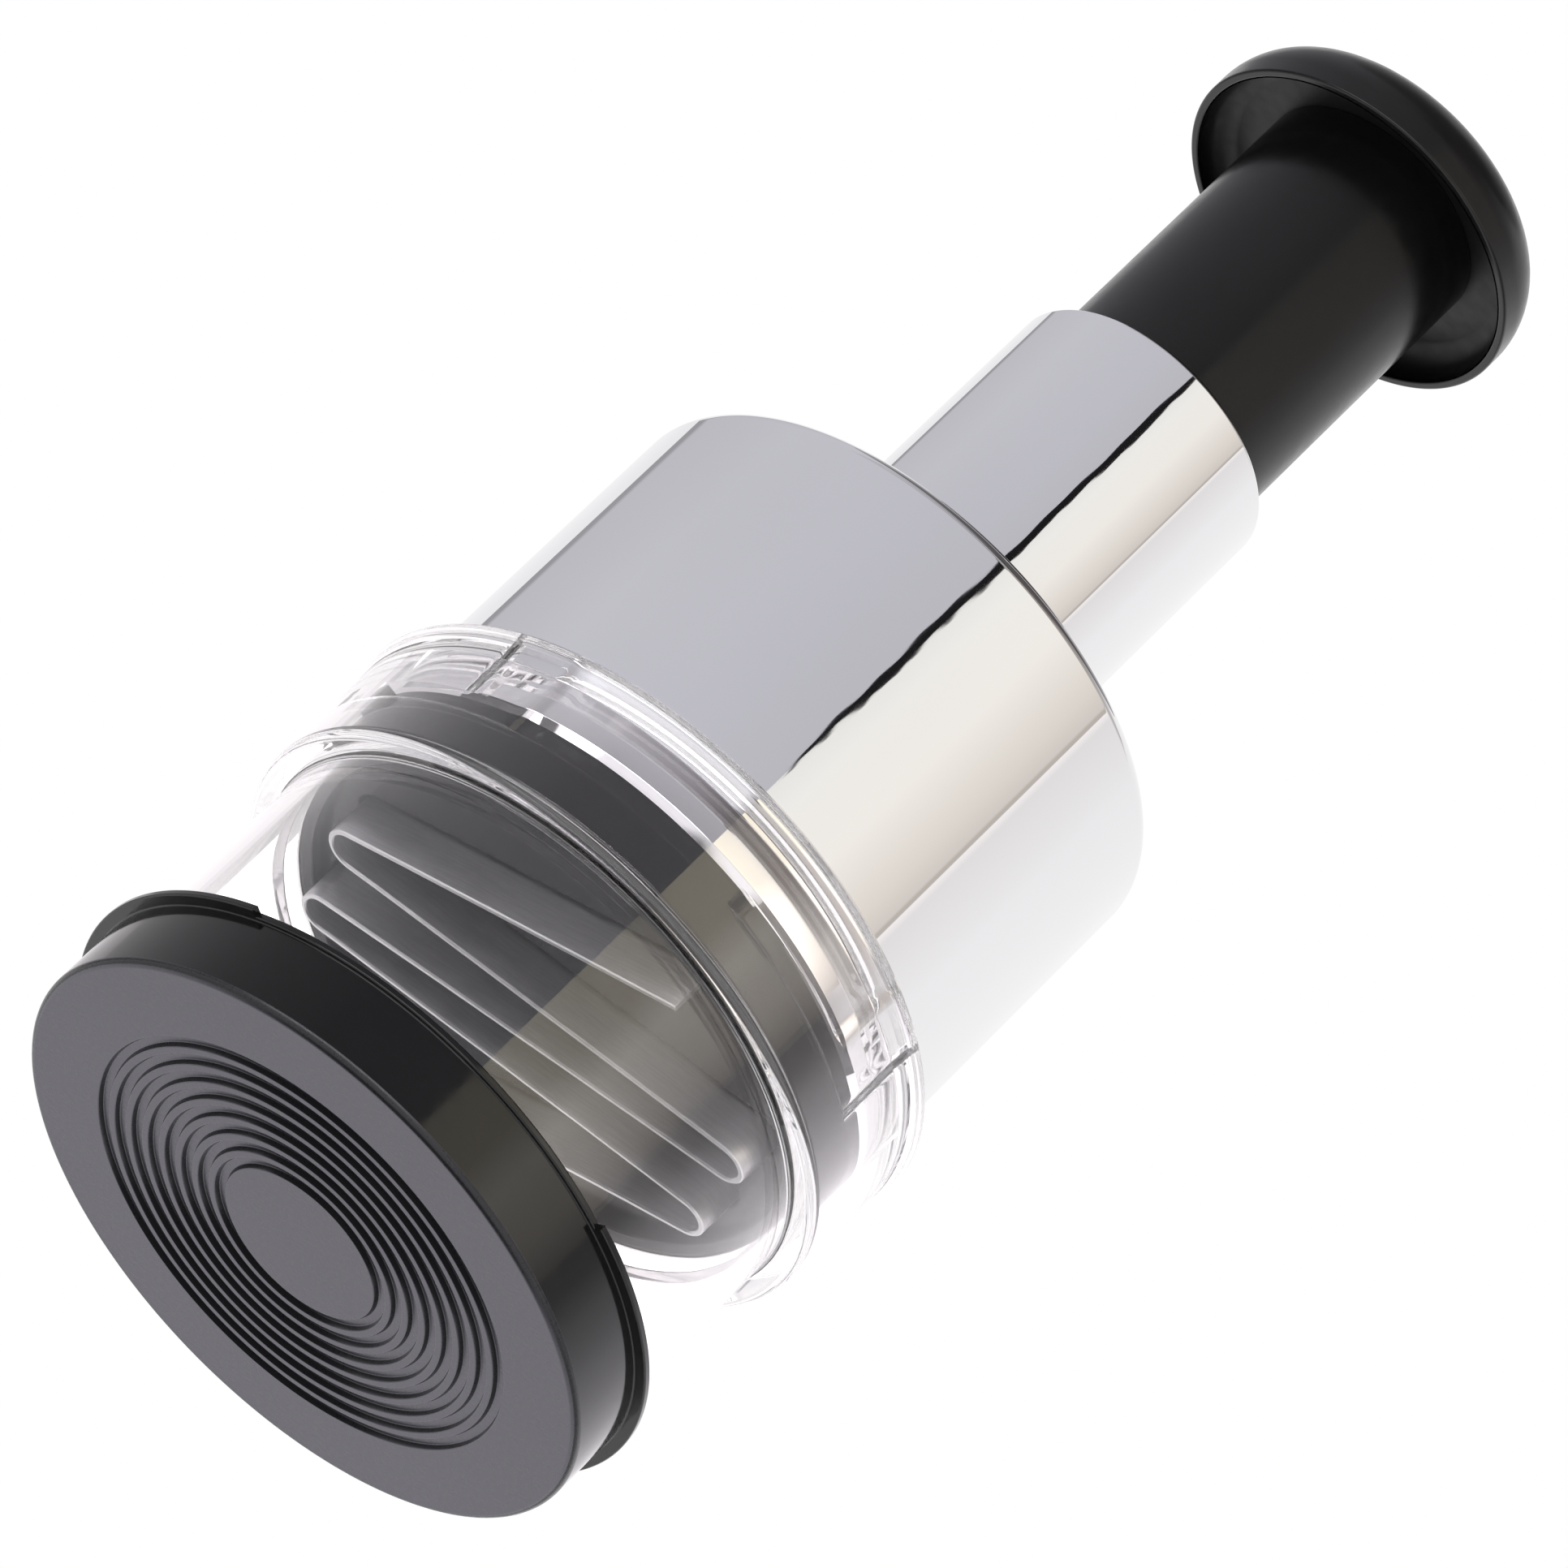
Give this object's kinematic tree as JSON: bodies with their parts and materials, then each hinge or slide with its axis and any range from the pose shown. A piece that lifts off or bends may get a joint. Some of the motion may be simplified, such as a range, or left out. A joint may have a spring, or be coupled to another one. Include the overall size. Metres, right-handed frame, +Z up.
{
  "type": "garlic mincer",
  "caption": "Palm-press garlic mincer: a knob on a sprung plunger drives a zigzag blade down into a clear cup with a pull-off base cap; the blade turns a little with each press.",
  "frame": {"origin": "centre of the base cap's flat standing face", "axes": "+Z up along the plunger's axis, -Y towards the near side of the picture's view"},
  "size_m": [0.0918, 0.0918, 0.2233],
  "materials": {
    "black_gloss": "glossy",
    "black_satin": "satin",
    "natural_plastic": "satin",
    "clear": "clear",
    "chrome": "polished",
    "stainless": "bright"
  },
  "bodies": {
    "housing": {"chrome_shell": "chrome", "inner_liner": "natural_plastic", "bayonet_ring": "black_gloss", "plate_retainer": "black_satin", "neck_bush": "black_satin", "index_ring": "natural_plastic", "index_screws": "stainless", "lower_spring_seat": "stainless", "return_spring": "stainless"},
    "plunger": {"plunger_tube": "black_gloss", "knob": "black_gloss", "knob_cover": "black_gloss", "upper_spring_seat": "stainless", "thrust_washer": "natural_plastic"},
    "blade_carrier": {"drive_shaft": "stainless", "shaft_screw": "stainless", "blade_holder": "natural_plastic", "holder_pin": "stainless", "zigzag_blade": "stainless"},
    "wiper": {"wiper_plate": "black_satin"},
    "cup": {"clear_cup": "clear"},
    "base": {"base_cap": "black_gloss"}
  },
  "joints": [
    {"name": "press", "type": "slide", "parent": "housing", "child": "plunger", "axis": [0, 0, -1], "range_m": [0, 0.037], "stiffness_N_per_m": 300, "springref_m": -0.03, "deforming": ["return_spring"]},
    {"name": "blade_index", "type": "hinge", "parent": "plunger", "child": "blade_carrier", "pos_m": [0, 0, 0.09], "axis": [0, 0, 1], "range_deg": [-30, 0]},
    {"name": "wiper_turn", "type": "hinge", "parent": "housing", "child": "wiper", "pos_m": [0, 0, 0.0488], "axis": [0, 0, 1], "range_deg": [-30, 0]},
    {"name": "cup_twist", "type": "hinge", "parent": "cup", "child": "housing", "pos_m": [0, 0, 0.05], "axis": [0, 0, 1], "range_deg": [0, 30]},
    {"name": "cap_pull", "type": "slide", "parent": "base", "child": "cup", "axis": [0, 0, 1], "range_m": [0, 0.014]}
  ],
  "couplings": [
    {"joint": "blade_index", "follows": "press", "rad_per_m": -14.151},
    {"joint": "wiper_turn", "follows": "press", "rad_per_m": -14.151}
  ]
}
